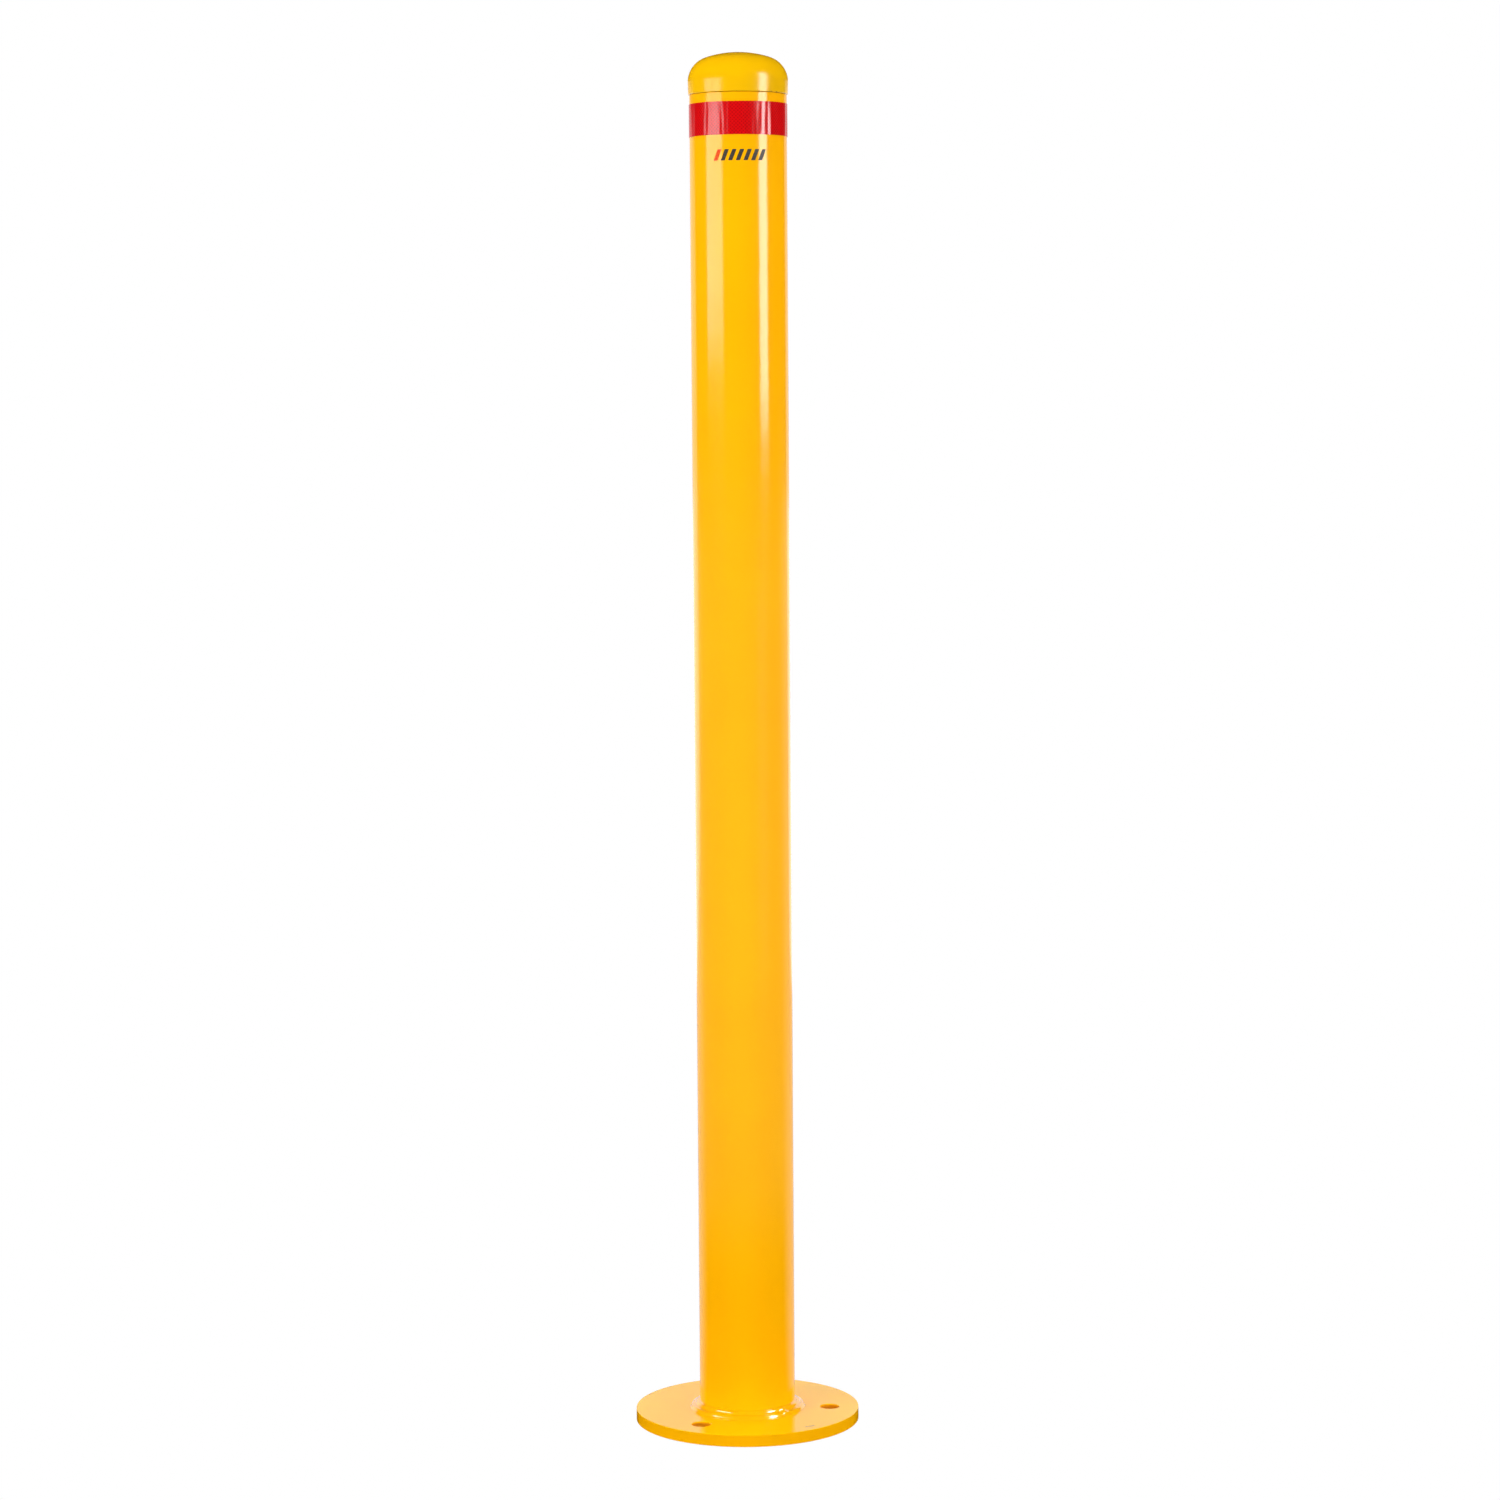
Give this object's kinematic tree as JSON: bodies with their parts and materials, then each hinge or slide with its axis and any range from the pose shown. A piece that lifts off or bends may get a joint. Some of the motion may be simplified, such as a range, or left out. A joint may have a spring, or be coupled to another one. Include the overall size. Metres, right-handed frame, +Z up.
{
  "type": "steel safety bollard",
  "caption": "Round steel safety bollard with a drilled disc base plate welded on, a domed push-in cap and a reflective band near the top.",
  "frame": {"origin": "centre of the base plate's underside, on the post's axis", "axes": "+Z up along the post; -Y is the front, where the small marking decal is; +X points to the first anchor hole"},
  "size_m": [0.208, 0.208, 1.2648],
  "materials": {
    "powder_coat": "gloss yellow powder coat with a light orange peel",
    "cap_plastic": "satin yellow moulded plastic",
    "reflective_film": "red retroreflective film with a clear face over fine prisms",
    "decal_vinyl": "dark grey printed marking"
  },
  "bodies": {
    "post": {"base_plate": "powder_coat", "post_tube": "powder_coat", "base_weld": "powder_coat", "reflective_band": "reflective_film", "marking_decal": "decal_vinyl"},
    "cap": {"end_cap": "cap_plastic"}
  },
  "joints": [
    {"name": "cap_pull", "type": "slide", "parent": "post", "child": "cap", "axis": [0, 0, 1], "range_m": [0, 0.032]}
  ]
}
